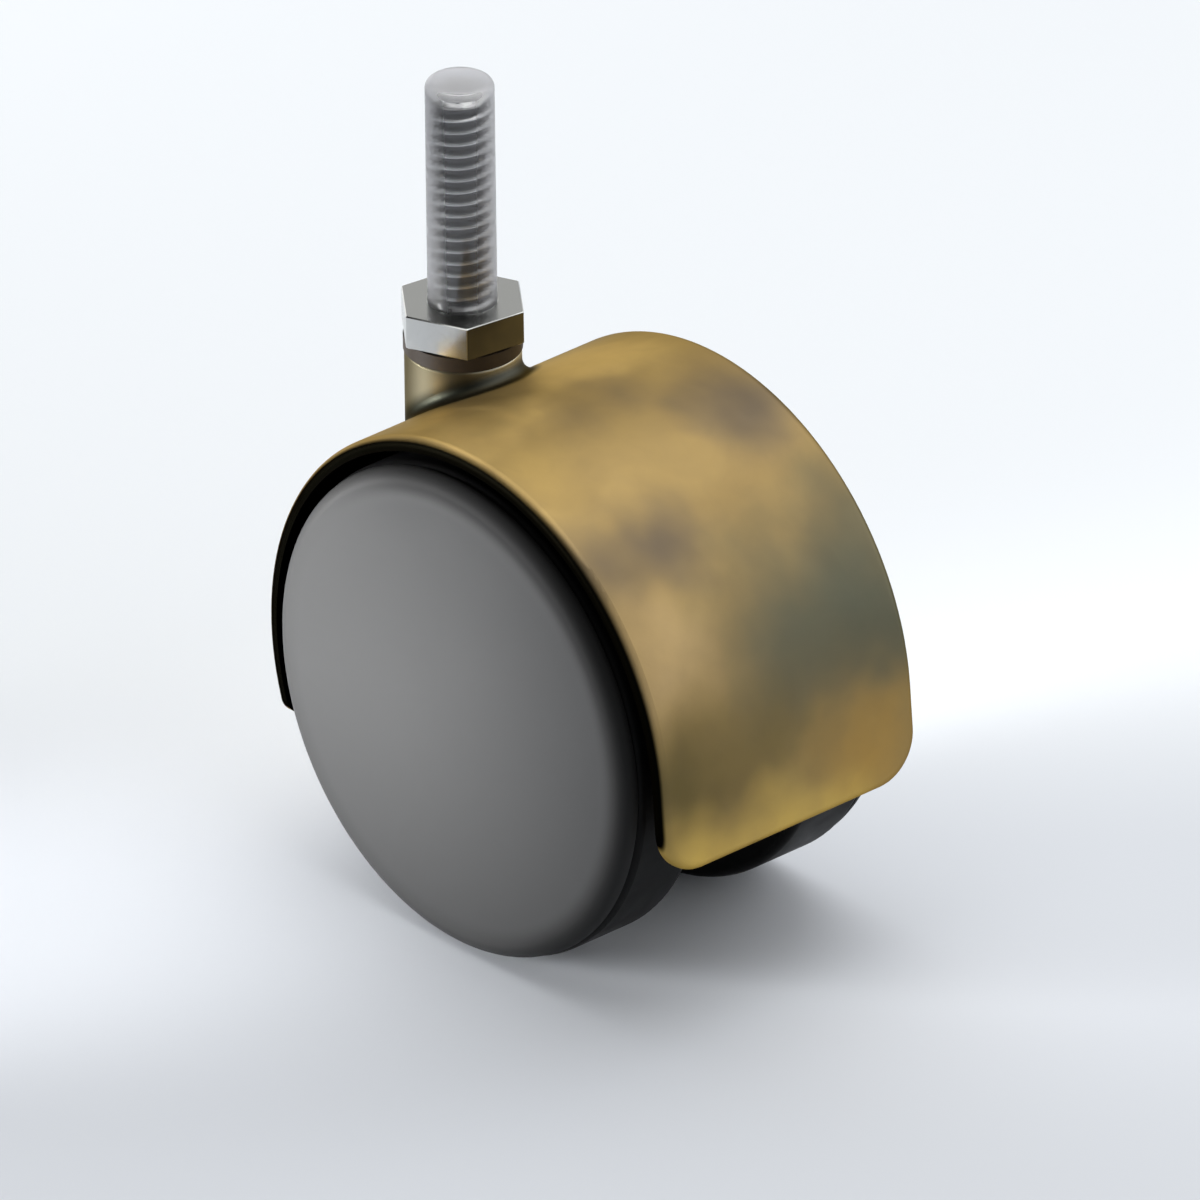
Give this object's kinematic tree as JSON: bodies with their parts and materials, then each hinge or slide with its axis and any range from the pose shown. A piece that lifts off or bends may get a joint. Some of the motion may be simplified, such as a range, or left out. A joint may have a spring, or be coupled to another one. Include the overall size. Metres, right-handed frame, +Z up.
{
  "type": "twin wheel castor",
  "caption": "Twin wheel furniture castor: a brass-plated hood swivels on a threaded stem with a hexagonal collar and a clear thread cap, over two black wheels.",
  "frame": {"origin": "stem axis at the collar's seating face", "axes": "+Z up along the threaded stem, +X forward from the stem to the wheels, +Y along the axle"},
  "size_m": [0.0566, 0.0354, 0.0807],
  "materials": {
    "bright_plate": "bright zinc or nickel plate",
    "clear_plastic": "clear soft plastic, slightly cloudy",
    "dark_nylon": "dark brown nylon",
    "plain_steel": "plain spring steel",
    "antique_brass": "cloudy antique brass plate on a zinc casting",
    "black_nylon": "black moulded nylon",
    "tread_black": "hard black tread, satin",
    "charcoal_face": "smooth charcoal plastic"
  },
  "bodies": {
    "stem": {"threaded_stem": "bright_plate", "swivel_washer": "plain_steel", "swivel_clip": "plain_steel"},
    "cap": {"thread_protector": "clear_plastic"},
    "hood": {"hood_casting": "antique_brass", "upper_swivel_bush": "dark_nylon", "lower_swivel_bush": "dark_nylon", "axle_pin": "plain_steel", "right_spacer_washer": "plain_steel", "left_spacer_washer": "plain_steel", "right_axle_clip": "plain_steel", "left_axle_clip": "plain_steel"},
    "right_wheel": {"right_wheel_core": "black_nylon", "right_hub_bush": "dark_nylon", "right_tyre": "tread_black", "right_face_cover": "charcoal_face"},
    "left_wheel": {"left_wheel_core": "black_nylon", "left_hub_bush": "dark_nylon", "left_tyre": "tread_black", "left_face_cover": "charcoal_face"}
  },
  "joints": [
    {"name": "cap_pull", "type": "slide", "parent": "stem", "child": "cap", "axis": [0, 0, 1], "range_m": [0, 0.026]},
    {"name": "swivel", "type": "hinge", "parent": "stem", "child": "hood", "pos_m": [0, 0, 0], "axis": [0, 0, 1], "continuous": true},
    {"name": "right_wheel_spin", "type": "hinge", "parent": "hood", "child": "right_wheel", "pos_m": [0.01675, 0, -0.0323], "axis": [0, 1, 0], "continuous": true},
    {"name": "left_wheel_spin", "type": "hinge", "parent": "hood", "child": "left_wheel", "pos_m": [0.01675, 0, -0.0323], "axis": [0, 1, 0], "continuous": true}
  ]
}
